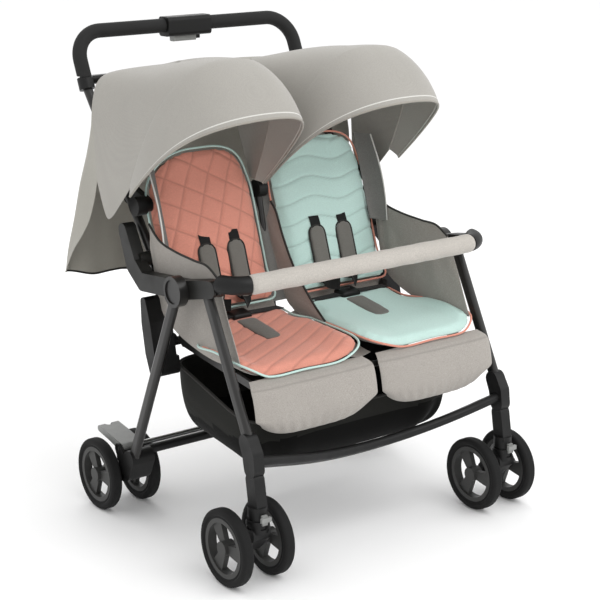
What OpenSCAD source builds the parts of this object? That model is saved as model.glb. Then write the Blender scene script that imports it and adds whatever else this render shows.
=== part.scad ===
// Side-by-side twin stroller. Millimetres, +Z up, travel towards -Y, handle at +Y.
// The origin is on the floor, in the middle of the stroller's plan.

/* [Overall] */
// Distance between the front and rear axles
wheelbase = 492; // [480:1:500]
// Centre plane to the middle of each pair of wheels
pair_x = 318; // [314:1:322]
// How far the foremost and rearmost points' middle lies behind the middle of the wheelbase
centre_y = 64.5; // [50:0.5:75]

/* [Wheels] */
// Tyre's outer radius
wheel_r = 78; // [74:1:78]
// Tyre's width
tyre_w = 25; // [20:1:26]
// Distance from the middle of a pair to each wheel
wheel_offset = 48; // [46:1:50]
// Rim's outer radius, where the tyre sits
rim_r = 60; // [56:1:62]
// Axle radius
axle_r = 4; // [3:0.5:5]
// Spokes of a wheel
spokes = 3; // [3:1:5]
// Distance that a front wheel trails behind its swivel
trail = 36; // [30:1:40]

/* [Frame] */
// Depth of the oval leg tube, seen from the side
leg_w = 26; // [22:1:28]
// Width of the oval leg tube, seen from the front
leg_t = 16; // [14:1:16]
// Wall of the tubes
tube_wall = 2; // [1.5:0.5:3]
// Centre plane to the rear legs
rear_leg_x = 338.2; // [338.2:0.1:338.6]
// Centre plane to the front legs
front_leg_x = 317; // [316:1:318]
// Centre plane to the push tubes
push_x = 280; // [278:1:280]
// Radius of the frame's pivot pins
pin_r = 5; // [4:0.5:5]
// Radius of the seat's hinge pins
hinge_r = 4; // [3:0.5:5]

/* [Handle] */
// Height of the handlebar's centre
handle_z = 1000; // [990:1:1010]
// Radius of the foam grip
grip_r = 15.5; // [14:0.5:17]
// Radius of the round push tube
push_r = 11; // [9:0.5:11]

/* [Seats] */
// Centre plane to the inner edge of a seat
seat_in = 22; // [20:1:26]
// Centre plane to the outer edge of a backrest
seat_out = 262; // [250:1:264]
// Centre plane to the outer edge of a seat's wide front
seat_front_out = 306; // [290:1:308]
// Slope of the seat, down towards the front
seat_tilt = 6.8; // [6:0.1:7]
// Lean of the backrest from upright
back_lean = 18; // [15:0.5:19]
// Length of the backrest
back_len = 338; // [320:1:345]

/* [Canopies] */
// Reach of the middle bow from its hub
mid_bow_r = 340; // [320:1:345]
// Reach of the front bow from its hub
front_bow_r = 352; // [330:1:356]
// Thickness of the canopy fabric with its lining
canopy_t = 4; // [3:0.5:6]
// Radius of the middle and front bows' upper corners
canopy_corner = 140; // [100:1:150]

/* [Hidden] */
$fn = 64;
run_gap = 0.05;                 // radial clearance of a running pin
// Places are [y, z], with y from the middle of the wheelbase.
front_axle = [-wheelbase / 2, wheel_r];
rear_axle = [wheelbase / 2, wheel_r];
swivel = [front_axle[0] - trail, 129];
pivot_rear_leg = [-48, 541];    // B: armrest on the rear legs
pivot_front_leg = [-119, 557];  // A: front legs in the armrest
pivot_push = [135, 565];        // C: push tubes on the armrest
rear_foot = [163, 100];
front_knee = [-263, 271];
push_end = [70, 332];
handle = [432, handle_z];
lift = 67;                      // direction of the tube above the knee, from +Y
lift_len = 120;
push_knee = handle - lift_len * [cos(lift), sin(lift)];
bight = [62, 436];              // fold line between the seats and the backrests
calf_axis = [-222, 368];        // front tube of the seat frame
hub = [154, 672];               // canopy hubs
brace = [397, 903];             // upper cross brace, just under the grip
brake_axis = [192, 146];
bumper_mid = [-212, 577];      // middle of the bumper's front stretch
bumper_corner = 50;            // radius of its corners, along the middle
mid_angle = 118;                // middle bow, from +Y
front_angle = 144;
rear_angle = 66.2;
rear_bow_r = 286;
handle_corner = 62;
low_bar = [104, 388];           // lower cross bar, behind the seats
WHEELS = ["front_left_outer", "front_left_inner", "front_right_inner", "front_right_outer",
          "rear_left_outer", "rear_left_inner", "rear_right_inner", "rear_right_outer"];

// ---------- shared shapes ----------

// Puts a piece, drawn about the middle of the wheelbase, into the stroller's frame.
module place() { translate([0, -centre_y, 0]) children(); }

// Draws its children on the right and mirrored on the left.
module both_sides() { children(); mirror([1, 0, 0]) children(); }

// Only the right (side = 1) or only the left (side = -1) of a mirrored pair.
module on_side(side) { if (side > 0) children(); else mirror([1, 0, 0]) children(); }

// Extrudes a [y, z] outline from x0 to x1.
module across(x0, x1) {
  translate([x0, 0, 0]) rotate([90, 0, 90]) linear_extrude(x1 - x0) children();
}

// Outline of a link: two round ends joined by their common tangents.
module link(a, ra, b, rb) {
  d = norm(b - a);
  u = (b - a) / d;
  n = [-u[1], u[0]];
  c = (ra - rb) / d;
  s = sqrt(1 - c * c);
  translate(a) circle(ra);
  translate(b) circle(rb);
  polygon([a + ra * (c * u + s * n), b + rb * (c * u + s * n),
           b + rb * (c * u - s * n), a + ra * (c * u - s * n)]);
}

// Outline of a chain of links through points [[y, z, r], ...].
module chain(points) {
  for (i = [0 : len(points) - 2])
    link([points[i][0], points[i][1]], points[i][2],
         [points[i + 1][0], points[i + 1][1]], points[i + 1][2]);
}

// The same chain, each link extruded from x0 to x1.
module chain_across(x0, x1, points) {
  for (i = [0 : len(points) - 2]) across(x0, x1) chain([points[i], points[i + 1]]);
}

// Cylinder along X from x0 to x1 at p = [y, z].
module rod_x(p, x0, x1, r) {
  translate([x0, p[0], p[1]]) rotate([0, 90, 0]) cylinder(h = x1 - x0, r = r);
}

// Flat oval, w along the first axis and t along the second.
module oval(w, t) {
  square([w - t, t], center = true);
  for (s = [-1, 1]) translate([s * (w - t) / 2, 0]) circle(t / 2);
}

// Oval tube in the plane x, from a to b, both [y, z].
module oval_tube(x, a, b, w, t, wall) {
  d = b - a;
  translate([x, a[0], a[1]]) rotate([atan2(-d[0], d[1]), 0, 0]) rotate([0, 0, 90])
    difference() {
      linear_extrude(norm(d)) oval(w, t);
      translate([0, 0, -1]) linear_extrude(norm(d) + 2) oval(w - 2 * wall, t - 2 * wall);
    }
}

// Round bar in the plane x, from a to b, both [y, z].
module bar(x, a, b, r) {
  d = b - a;
  translate([x, a[0], a[1]]) rotate([atan2(-d[0], d[1]), 0, 0]) cylinder(h = norm(d), r = r);
}

// Places drawings made in the seat's plane: x across, y forwards is negative, z up.
module on_seat() { translate([0, bight[0], bight[1]]) rotate([seat_tilt, 0, 0]) children(); }

// Places drawings made in the backrest's plane: x across, y to the rear, z up the back.
module on_back() { translate([0, bight[0], bight[1]]) rotate([-back_lean, 0, 0]) children(); }

// Rectangle with round corners of radius r.
module round_rect(x0, y0, x1, y1, r) {
  translate([x0 + r, y0]) square([x1 - x0 - 2 * r, y1 - y0]);
  translate([x0, y0 + r]) square([x1 - x0, y1 - y0 - 2 * r]);
  for (x = [x0 + r, x1 - r], y = [y0 + r, y1 - r]) translate([x, y]) circle(r);
}

// ---------- rear frame ----------

module rear_legs() {
  color("dimgray") place() both_sides() difference() {
    union() {
      oval_tube(rear_leg_x, pivot_rear_leg + [8, -17], rear_foot, leg_w, leg_t, tube_wall);
      difference() {
        rod_x(pivot_rear_leg, rear_leg_x - 7.6, rear_leg_x + 13, 31);
        rod_x(pivot_rear_leg, rear_leg_x + 10, rear_leg_x + 14, 24);
      }
    }
    rod_x(pivot_rear_leg, rear_leg_x - 10, rear_leg_x + 7, pin_r + run_gap);
  }
}

module rear_axle_beam() {
  color("dimgray") place() {
    difference() {
      both_sides() across(pair_x - 22, rear_leg_x + 12) {
        chain([[rear_foot[0] - 14, rear_foot[1] + 34, 19], [rear_foot[0] + 4, rear_foot[1] + 2, 21],
               [rear_axle[0], rear_axle[1], 17]]);
        link([rear_foot[0] + 4, rear_foot[1] + 16], 20, brake_axis, 12);
      }
      both_sides() {
        rod_x(rear_axle, pair_x - 30, rear_leg_x + 20, axle_r + run_gap);
        // Socket for the leg tube
        d = rear_foot - pivot_rear_leg;
        translate([rear_leg_x, rear_foot[0], rear_foot[1]]) rotate([atan2(-d[0], d[1]), 0, 0])
          translate([0, 0, -90]) rotate([0, 0, 90]) linear_extrude(90.02) oval(leg_w, leg_t);
      }
      both_sides() rod_x(brake_axis, 250, 400, 6 + run_gap);
      // Room for the pedal on the left
      translate([-pair_x - 27, brake_axis[0] - 18, 100]) cube([54, 84, 90]);
    }
    rod_x([174, 136], -pair_x + 22, pair_x - 22, 10);
  }
}

module rear_axles() {
  color("silver") place() both_sides()
    rod_x(rear_axle, pair_x - wheel_offset - 9, pair_x + wheel_offset + 9, axle_r);
}

module basket() {
  wall = 5;
  color("black") place() difference() {
    across(-262, 262) basket_side(0);
    across(-262 + wall, 262 - wall) basket_side(wall);
  }
}

// Side view of the basket, moved in by wall, and open at the top when wall is not 0.
module basket_side(wall) {
  top = wall > 0 ? 60 : 0;
  polygon([[106 - wall, 346 + top], [122 - wall, 250], [84, 176 + wall], [-84, 160 + wall],
           [-170, 190 + wall], [-196 + wall, 246], [-196 + wall, 282 + top]]);
}

module brake_pedal() {
  color("lightgray") place() difference() {
    translate([-pair_x, 0, 0])
      chain_across(-24, 24, [[brake_axis[0], brake_axis[1], 10], [236, 156, 8], [284, 164, 7]]);
    rod_x(brake_axis, -400, -250, 6.02);
    translate([-pair_x, 286, 120]) cylinder(h = 80, r = 9);
  }
}

module brake_rod() {
  color("darkgray") place() rod_x(brake_axis, -rear_leg_x - 9, rear_leg_x + 9, 6);
}

// ---------- armrests and bumper ----------

ARM_LINE = [[-150, 563, 17], [pivot_front_leg[0], pivot_front_leg[1], 18],
            [pivot_rear_leg[0], pivot_rear_leg[1], 19], [104, 527, 19]];

module armrests() {
  color("black") place() both_sides() {
    difference() {
      union() {
        across(front_leg_x - 13, front_leg_x + 13) {
          chain(ARM_LINE);
          chain([[104, 527, 19], [142, 556, 20], [172, 622, 15]]);
        }
        rod_x(pivot_push, push_x + 11.5, front_leg_x, 15);
      }
      // Hollow, open below
      across(front_leg_x - 10, front_leg_x + 10) {
        chain([for (p = ARM_LINE) [p[0], p[1], p[2] - 3]]);
        chain([for (p = ARM_LINE) [p[0], p[1] - 22, p[2] - 3]]);
      }
      // Socket for the bumper bar
      translate([front_leg_x, 0, 0]) across(-8, 8)
        link([-150, 563], 11, [-200, 572], 11);
      rod_x(pivot_front_leg, front_leg_x - 14, front_leg_x + 12, pin_r);
      rod_x(pivot_rear_leg, front_leg_x - 14, front_leg_x + 14, pin_r);
      rod_x(pivot_push, push_x, front_leg_x + 12, pin_r);
    }
  }
}

module frame_pins() {
  color("silver") place() both_sides() {
    rod_x(pivot_front_leg, front_leg_x - 12.5, front_leg_x + 12, pin_r);
    rod_x(pivot_rear_leg, front_leg_x - 12.5, rear_leg_x + 6, pin_r);
    rod_x(pivot_push, push_x - 12, front_leg_x + 11, pin_r);
    rod_x(pivot_push, push_x - 15, push_x - 12, 9);
  }
}

module bumper_bar() {
  color("black") place() {
    both_sides() {
      // Tongue in the armrest's socket
      translate([front_leg_x, 0, 0]) across(-7.4, 7.4) link([-154, 564], 7, [-176, 568], 10);
      // Plastic elbow
      difference() {
        bumper_bend(18, 0, 78);
        across(0, 400) polygon([[-172, 500], [-100, 500], [-100, 640], [-172, 640]]);
      }
    }
    bumper_core(9);
  }
}

// The bumper's round corner, in plan, of radius r, between two angles from X.
module bumper_bend(r, from, to) {
  translate([front_leg_x - bumper_corner, bumper_mid[0] + bumper_corner, bumper_mid[1]])
    rotate([0, 0, -to]) rotate_extrude(angle = to - from) translate([bumper_corner, 0])
      circle(r);
}

// The bar inside the cover: a straight stretch and the last part of both corners.
module bumper_core(r) {
  reach = front_leg_x - bumper_corner;
  rod_x(bumper_mid, -reach, reach, r);
  both_sides() bumper_bend(r, 60, 90);
}

module bumper_cover() {
  cover_r = 19;
  reach = front_leg_x - bumper_corner;
  color("gray") place() difference() {
    union() {
      rod_x(bumper_mid, -reach, reach, cover_r);
      both_sides() bumper_bend(cover_r, 78.5, 90);
    }
    bumper_core(9.02);
  }
}

// ---------- front frame ----------

module front_legs() {
  color("dimgray") place() both_sides() difference() {
    oval_tube(front_leg_x, pivot_front_leg + [2.9, 5.8], front_knee + [-14, -28],
              leg_w, leg_t, tube_wall);
    rod_x(pivot_front_leg, front_leg_x - 14, front_leg_x + 14, pin_r + run_gap);
  }
}

// Points along the footrest: [x, y, z], lowest in the middle, with two shallow foot wells.
function foot_wave(x) = [x,
  -260 + 42 * pow(cos(x * 90 / 318), 2),
  243 - 50 * pow(cos(x * 90 / 318), 1.3)];

module footrest() {
  color("black") place() {
    difference() {
      union() {
        foot_bar();
        both_sides() across(front_leg_x - 12, front_leg_x + 12)
          chain([[-256, 285, 17], [-268, 262, 19], [-272, 236, 18]]);
      }
      both_sides() {
        d = front_knee + [-14, -28] - (pivot_front_leg + [3.3, 6.5]);
        translate([front_leg_x, pivot_front_leg[0] + 3.3, pivot_front_leg[1] + 6.5])
          rotate([atan2(-d[0], d[1]), 0, 0]) rotate([0, 0, 90])
          linear_extrude(norm(d) + 0.02) oval(leg_w + 0.02, leg_t + 0.02);
      }
    }
  }
}

// The footrest's bar: one oval section, tilted forwards, carried along the wave.
module foot_bar() {
  steps = 24;
  sides = 20;
  half = 308;
  section = [for (k = [0 : sides - 1]) let (t = k * 360 / sides,
      u = [13 * sign(cos(t)) * (abs(cos(t)) > 0.01 ? 1 : 0) + 10 * cos(t), 10 * sin(t)])
    [u[0] * cos(28) + u[1] * sin(28), u[1] * cos(28) - u[0] * sin(28)]];
  points = [for (i = [0 : steps], k = [0 : sides - 1])
    let (c = foot_wave(-half + 2 * half * i / steps))
    [c[0], c[1] + section[k][0], c[2] + section[k][1]]];
  faces = concat([[for (k = [0 : sides - 1]) k]],
    [for (i = [0 : steps - 1], k = [0 : sides - 1]) let (n = (k + 1) % sides)
      [i * sides + k, (i + 1) * sides + k, (i + 1) * sides + n, i * sides + n]],
    [[for (k = [sides - 1 : -1 : 0]) steps * sides + k]]);
  polyhedron(points, faces);
}

module caster_sockets() {
  color("black") place() both_sides() difference() {
    union() {
      across(front_leg_x - 12, front_leg_x + 12)
        chain([[-274, 214, 15], [-280, 176, 15], [swivel[0], 160, 16]]);
      translate([pair_x, swivel[0], 130]) cylinder(h = 34, r = 19);
      translate([pair_x, swivel[0], 128]) cylinder(h = 10, r = 23);
    }
    translate([pair_x, swivel[0], 120]) cylinder(h = 38, r = 8 + run_gap);
    // Clear of the footrest's sleeve above
    across(front_leg_x - 30, front_leg_x + 30) chain([[-268, 262, 19.3], [-272, 236, 18.3]]);
    // Slot for the swivel lock
    translate([pair_x - 6.5, swivel[0] - 26, 120]) cube([13, 8, 34]);
  }
}

module caster(side) {
  color("black") place() on_side(side) {
    difference() {
      union() {
        translate([pair_x, swivel[0], 112]) cylinder(h = 44, r = 8);
        translate([pair_x, swivel[0], 112]) cylinder(h = 15.4, r = 21);
        across(pair_x - 20, pair_x + 20) {
          link([swivel[0] + 2, 108], 17, [front_axle[0], front_axle[1]], 19);
        }
      }
      rod_x(front_axle, pair_x - 30, pair_x + 30, axle_r);
      // Notches that the swivel lock drops into, one each quarter turn
      for (k = [0 : 3]) translate([pair_x, swivel[0], 120]) rotate(k * 90)
        translate([-6.5, -26, 0]) cube([13, 8, 8]);
    }
    rod_x(front_axle, pair_x - wheel_offset - 9, pair_x + wheel_offset + 9, axle_r);
  }
}

module caster_left() { caster(-1); }
module caster_right() { caster(1); }

module swivel_lock(side) {
  color("dimgray") place() on_side(side) translate([pair_x, swivel[0], 0]) {
    translate([-6, -25, 131]) cube([12, 5.5, 20]);
    translate([-11, -31, 139]) cube([22, 6, 9]);
  }
}

module swivel_lock_left() { swivel_lock(-1); }
module swivel_lock_right() { swivel_lock(1); }

// ---------- wheels ----------

function wheel_place(i) = [
  [-1, -1, 1, 1][i % 4] * pair_x + [-1, 1, -1, 1][i % 4] * wheel_offset,
  i < 4 ? front_axle[0] : rear_axle[0], wheel_r];

module tyre(i) {
  color([0.1, 0.1, 0.1]) place() translate(wheel_place(i)) rotate([0, 90, 0])
    rotate_extrude($fn = 96) {
      translate([wheel_r - 9, 0]) oval_tread();
      translate([rim_r + 0.02, -tyre_w / 2 + 3]) square([10, tyre_w - 6]);
    }
}

// The tyre's section: a flat tread with round shoulders.
module oval_tread() {
  round_rect(-6, -tyre_w / 2, 9, tyre_w / 2, 7);
}

module rim(i) {
  outward = [-1, 1, -1, 1][i % 4];
  color([0.15, 0.15, 0.16]) place() translate(wheel_place(i)) rotate([0, 90 * outward, 0])
    difference() {
      union() {
        rotate_extrude($fn = 96) translate([rim_r - 9, -10]) square([9, 20]);
        translate([0, 0, -11.5]) cylinder(h = 25, r = 15);
        for (k = [0 : spokes - 1]) rotate(k * 360 / spokes + 30)
          translate([0, 0, -5]) linear_extrude(11)
            polygon([[10, -9], [rim_r - 4, -17], [rim_r - 4, 17], [10, 9]]);
      }
      translate([0, 0, -20]) cylinder(h = 30, r = axle_r + run_gap);
    }
}

module tyre_front_left_outer() { tyre(0); }
module tyre_front_left_inner() { tyre(1); }
module tyre_front_right_inner() { tyre(2); }
module tyre_front_right_outer() { tyre(3); }
module tyre_rear_left_outer() { tyre(4); }
module tyre_rear_left_inner() { tyre(5); }
module tyre_rear_right_inner() { tyre(6); }
module tyre_rear_right_outer() { tyre(7); }
module rim_front_left_outer() { rim(0); }
module rim_front_left_inner() { rim(1); }
module rim_front_right_inner() { rim(2); }
module rim_front_right_outer() { rim(3); }
module rim_rear_left_outer() { rim(4); }
module rim_rear_left_inner() { rim(5); }
module rim_rear_right_inner() { rim(6); }
module rim_rear_right_outer() { rim(7); }

// ---------- push frame ----------

module push_tube() {
  color("dimgray") place() {
    both_sides() {
      difference() {
        union() {
          bar(push_x, push_end, pivot_push, push_r - 2);
          bar(push_x, pivot_push, push_knee, push_r - 1);
          rod_x(pivot_push, push_x - 11, push_x + 11, 16);
          // Hinge ear and pin that carry the seat
          across(push_x - 9.5, push_x - 5.5) link(bight, 8, [99, 436], 10);
          rod_x(bight, seat_out + 0.6, push_x - 8, hinge_r);
        }
        rod_x(pivot_push, push_x - 20, push_x + 20, pin_r + run_gap);
      }
      // Swage at the knee, inside the collar
      translate([push_x, push_knee[0], push_knee[1]]) sphere(push_r - 0.4);
    }
    handle_path(push_r - 1);
  }
}

// The tube above the knee: two uprights, two round corners and the handlebar.
module handle_path(r) {
  translate([0, push_knee[0], push_knee[1]]) rotate([lift - 90, 0, 0]) {
    both_sides() {
      translate([push_x, 0, 0]) cylinder(h = lift_len - handle_corner, r = r);
      translate([push_x - handle_corner, 0, lift_len - handle_corner]) rotate([90, 0, 0])
        rotate_extrude(angle = 90) translate([handle_corner, 0]) circle(r);
    }
    translate([-push_x + handle_corner, 0, lift_len]) rotate([0, 90, 0])
      cylinder(h = 2 * (push_x - handle_corner), r = r);
  }
}

module handle_grip() {
  color("black") place() difference() {
    handle_path(grip_r);
    handle_path(push_r - 0.98);
    translate([-400, push_knee[0] - 60, push_knee[1] - 60]) cube([800, 120, 82]);
    translate([-57, handle[0] - 40, handle[1] - 40]) cube([114, 80, 80]);
  }
}

module handle_brace() {
  color("black") place() difference() {
    union() {
      both_sides() {
        translate([0, push_knee[0], push_knee[1]]) rotate([-22, 0, 0])
          translate([push_x, 0, -6]) cylinder(h = 26, r = 17);
        rod_x(brace, push_x - 60, push_x, 11);
      }
      rod_x(brace, -push_x + 59, push_x - 59, 8);
    }
    handle_path(push_r - 0.98);
    both_sides() {
      bar(push_x, pivot_push, push_knee, push_r - 0.98);
      translate([push_x, push_knee[0], push_knee[1]]) sphere(push_r - 0.38);
    }
    // Clear of the foam grip above
    translate([-400, push_knee[0] - 60, push_knee[1] + 21.4]) cube([800, 120, 60]);
  }
}

module lock_housings() {
  color("black") place() both_sides() difference() {
    across(push_x - 11, front_leg_x + 10) {
      chain([[104, 484, 10], [96, 440, 17], [84, 380, 18], [74, 344, 14]]);
    }
    bar(push_x, push_end, pivot_push, push_r - 1.98);
    // Clear of the seat's hinge bracket
    across(push_x - 30, push_x - 5.2) polygon([[40, 370], [150, 370], [150, 500], [40, 500]]);
  }
}

module canopy_mounts() {
  color("black") place() {
    both_sides() difference() {
      union() {
        across(push_x - 7, push_x + 7)
          chain([[222, 682, 17], [200, 690, 13], [hub[0], hub[1], 15]]);
        rod_x(hub, push_x + 6.9, front_leg_x - 6, 20);
      }
      bar(push_x, pivot_push, push_knee, push_r - 0.98);
    }
    rod_x(hub, -11, 11, 19);
  }
}

module trigger_housing() {
  color([0.15, 0.15, 0.16]) place() difference() {
    across(-56, 56) round_rect(handle[0] - 21, handle[1] - 24, handle[0] + 21,
                               handle[1] + 19, 9);
    handle_path(push_r - 0.98);
    // Room for the squeeze lever and for the button
    across(-37, 23) polygon([[handle[0] - 10, handle[1] - 30], [handle[0] + 10, handle[1] - 30],
                             [handle[0] + 10, handle[1] - 13], [handle[0] - 10, handle[1] - 13]]);
    across(25, 35) polygon([[handle[0] - 7, handle[1] - 30], [handle[0] + 7, handle[1] - 30],
                            [handle[0] + 7, handle[1] - 13], [handle[0] - 7, handle[1] - 13]]);
  }
}

module fold_trigger() {
  color("lightgray") place() across(-36, 22)
    round_rect(handle[0] - 9, handle[1] - 36, handle[0] + 9, handle[1] - 19, 3);
}

module fold_button() {
  color("lightgray") place() across(26, 34)
    round_rect(handle[0] - 6, handle[1] - 33, handle[0] + 6, handle[1] - 18, 3);
}

module centre_post() {
  color("dimgray") place() difference() {
    union() {
      rod_x(low_bar, -push_x + 12, push_x - 12, 9);
      bar(0, low_bar, hub + [4, -14], 8);
      both_sides() across(push_x - 16, push_x - 9.2)
        link(low_bar, 13, [88, 398], 13);
    }
    rod_x(hub, -30, 30, 19.02);
    both_sides() bar(push_x, push_end, pivot_push, push_r - 1.98);
  }
}

module rear_drape() {
  sheet = 2.5;
  color("gray") place()
    chain_across(-262, 262, [[300, 934, sheet], [352, 926, sheet], [400, 921, sheet], [419, 905, sheet],
           [428, 840, sheet], [437, 700, sheet], [443, 560, sheet], [436, 482, sheet]]);
}

// ---------- seats ----------

module seat_frame() {
  color("dimgray") place() {
    both_sides() difference() {
      across(seat_out + 1, push_x - 10) {
        link(bight, 10, [46, 401], 9);
        link([46, 401], 8, calf_axis, 7.5);
      }
      rod_x(bight, 200, 300, hinge_r + run_gap);
    }
    rod_x(calf_axis, -seat_out - 3, seat_out + 3, 6.5);
    rod_x([20, 392], -seat_out - 3, seat_out + 3, 6);
  }
}

// Plan of one seat: narrow at the bight, wide at the front, with round front corners.
module seat_plan(inset, front) {
  round_rect(seat_in + inset, -120, seat_out - inset, -8 - inset, 20);
  round_rect(seat_in - 14 + inset, -front + inset, seat_front_out - inset, -70 - inset, 60);
}

module seat_pads() {
  color("gray") place() on_seat() both_sides()
    translate([0, 0, -21.5]) linear_extrude(11.5) seat_plan(6, 274);
}

module seat_liners() {
  color("salmon") place() on_seat() both_sides()
    translate([0, 0, -9.5]) linear_extrude(9) seat_plan(2, 302);
}

module crotch_pads() {
  color("gray") place() on_seat() both_sides() translate([(seat_in + seat_out) / 2, 0, 0.3]) {
    translate([-17, -150, 0]) linear_extrude(11) round_rect(0, 0, 34, 96, 14);
    translate([-27, -52, 0]) linear_extrude(22) round_rect(0, 0, 54, 42, 14);
  }
}

module seat_sides() {
  color("gray") place() {
    both_sides() across(push_x + 11, push_x + 15)
      polygon([[-196, 407], [60, 439], [132, 640], [92, 632], [20, 590], [-128, 556]]);
    across(-7, 7) polygon([[-80, 412], [56, 434], [112, 640], [94, 640], [30, 520]]);
  }
}

module back(side) {
  color("gray") place() on_side(side) on_back() rotate([90, 0, 0]) mirror([0, 0, 1])
    translate([0, 0, 0.4]) linear_extrude(18) round_rect(seat_in, 12, seat_out, back_len, 40);
}

module back_left() { back(-1); }
module back_right() { back(1); }

module liner(side) {
  color(side < 0 ? "salmon" : "aquamarine") place() on_side(side) on_back() rotate([90, 0, 0])
    linear_extrude(9) union() {
      round_rect(seat_in + 4, 16, seat_out - 2, 300, 20);
      round_rect(seat_in + 6, 100, seat_out - 3, back_len + 12, 95);
    }
}

module liner_left() { liner(-1); }
module liner_right() { liner(1); }

module shoulder_pads(side) {
  middle = (seat_in + seat_out) / 2;
  color("gray") place() on_side(side) on_back() translate([0, -9.4, 0]) rotate([90, 0, 0])
    for (s = [-1, 1]) linear_extrude(13)
      round_rect(middle + s * 36 - 22, 26, middle + s * 36 + 22, 154, 19);
}

module shoulder_pads_left() { shoulder_pads(-1); }
module shoulder_pads_right() { shoulder_pads(1); }

module calf_rest(side) {
  color("gray") place() on_side(side) {
    difference() {
      chain_across(seat_in - 14, seat_out + 0.4, [[calf_axis[0], calf_axis[1], 10], [-241, 338, 15]]);
      rod_x(calf_axis, 0, 300, 6.8);
    }
    chain_across(seat_in - 14, seat_front_out - 4,
                 [[-241, 338, 15], [-248, 306, 15], [-244, 290, 12]]);
  }
}

module calf_rest_left() { calf_rest(-1); }
module calf_rest_right() { calf_rest(1); }

// ---------- canopies ----------

// Bows as [angle from +Y, reach, inner x, outer x, corner radius].
REAR_BOW = [rear_angle, rear_bow_r, 15, 334, 60];
MID_BOW = [mid_angle, mid_bow_r, 18, 334, canopy_corner];
FRONT_BOW = [front_angle, front_bow_r, 4, 348, canopy_corner];

// Outline of a bow: x across, y away from the hub.
module arch(bow, inset) {
  x0 = bow[2] + inset;
  x1 = bow[3] - inset;
  r = bow[4] - inset;
  translate([x0, 0]) square([x1 - x0, bow[1] - inset - r]);
  translate([x0 + r, 0]) square([x1 - x0 - 2 * r, bow[1] - inset]);
  for (x = [x0 + r, x1 - r]) translate([x, bow[1] - inset - r]) circle(r);
}

// A thin slice of the space under a bow, turned about the hub by extra degrees.
module bow_slice(bow, inset, extra) {
  translate([0, hub[0], hub[1]]) rotate([bow[0] + extra, 0, 0])
    linear_extrude(0.5) arch(bow, inset);
}

// The shell between two bows, open at both of them and below.
module canopy_shell(rear, front, rear_gap, front_gap) {
  difference() {
    hull() {
      bow_slice(rear, 0, rear_gap);
      bow_slice(front, 0, -front_gap);
    }
    hull() {
      bow_slice(rear, canopy_t, rear_gap - 0.5);
      bow_slice(front, canopy_t, 0.5 - front_gap);
      translate([0, 0, -60])
        bow_slice([(rear[0] + front[0]) / 2, 160, 18, 334, 60], canopy_t, 0);
    }
    rod_x(hub, -400, 400, 30);
  }
}

module canopy(side) {
  color("silver") place() on_side(side) {
    canopy_shell(REAR_BOW, MID_BOW, 0, 0.6);
    across(334 - canopy_t, 334)
      polygon([[192, 650], [221, 645], [262, 712], [272, 830], [255, 900], [200, 860], [172, 690]]);
  }
}

module canopy_left() { canopy(-1); }
module canopy_right() { canopy(1); }

module visor(side) {
  color("silver") place() on_side(side) canopy_shell(MID_BOW, FRONT_BOW, 1.2, 0);
}

module visor_left() { visor(-1); }
module visor_right() { visor(1); }

// ---------- all nodes ----------

rear_legs();
rear_axle_beam();
rear_axles();
basket();
brake_pedal();
brake_rod();
armrests();
frame_pins();
bumper_bar();
bumper_cover();
front_legs();
footrest();
caster_sockets();
caster_left();
caster_right();
swivel_lock_left();
swivel_lock_right();
tyre_front_left_outer();
tyre_front_left_inner();
tyre_front_right_inner();
tyre_front_right_outer();
tyre_rear_left_outer();
tyre_rear_left_inner();
tyre_rear_right_inner();
tyre_rear_right_outer();
rim_front_left_outer();
rim_front_left_inner();
rim_front_right_inner();
rim_front_right_outer();
rim_rear_left_outer();
rim_rear_left_inner();
rim_rear_right_inner();
rim_rear_right_outer();
push_tube();
handle_grip();
handle_brace();
lock_housings();
canopy_mounts();
trigger_housing();
centre_post();
rear_drape();
fold_trigger();
fold_button();
seat_frame();
seat_pads();
seat_liners();
crotch_pads();
seat_sides();
back_left();
back_right();
liner_left();
liner_right();
shoulder_pads_left();
shoulder_pads_right();
calf_rest_left();
calf_rest_right();
canopy_left();
canopy_right();
visor_left();
visor_right();
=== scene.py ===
"""Looks of a side-by-side twin folding stroller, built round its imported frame.

Lengths in the piece classes are millimetres, measured from the middle of the wheelbase. at() turns them
into metres in the row frame, where every finished piece lies.
"""

import logging
import math
from dataclasses import dataclass
from enum import Enum
from functools import lru_cache
from typing import Callable, Iterable, NamedTuple, Sequence

import bpy
from mathutils import Matrix, Vector

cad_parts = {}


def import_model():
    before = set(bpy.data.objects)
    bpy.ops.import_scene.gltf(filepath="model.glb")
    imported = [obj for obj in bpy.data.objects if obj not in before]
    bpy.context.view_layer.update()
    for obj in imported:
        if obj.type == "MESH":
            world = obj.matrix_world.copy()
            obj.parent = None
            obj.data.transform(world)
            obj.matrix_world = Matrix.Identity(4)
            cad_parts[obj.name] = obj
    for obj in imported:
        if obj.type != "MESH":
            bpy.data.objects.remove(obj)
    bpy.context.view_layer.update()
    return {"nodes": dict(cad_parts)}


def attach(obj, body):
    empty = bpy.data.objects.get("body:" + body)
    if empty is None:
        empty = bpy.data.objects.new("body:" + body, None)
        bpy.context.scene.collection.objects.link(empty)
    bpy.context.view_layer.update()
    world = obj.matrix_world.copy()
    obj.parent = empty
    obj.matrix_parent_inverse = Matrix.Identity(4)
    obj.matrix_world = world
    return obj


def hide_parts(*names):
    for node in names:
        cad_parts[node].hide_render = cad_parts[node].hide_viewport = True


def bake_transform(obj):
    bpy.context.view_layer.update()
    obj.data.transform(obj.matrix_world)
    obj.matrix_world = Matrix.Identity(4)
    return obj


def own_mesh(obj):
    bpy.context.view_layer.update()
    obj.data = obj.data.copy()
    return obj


LOG = logging.getLogger("stroller")
MM = 0.001
CENTRE_Y = 64.5  # how far the row frame's origin lies behind the middle of the wheelbase
HUB = (154.0, 672.0)  # (y, z) of the hub that the canopies turn about
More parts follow.
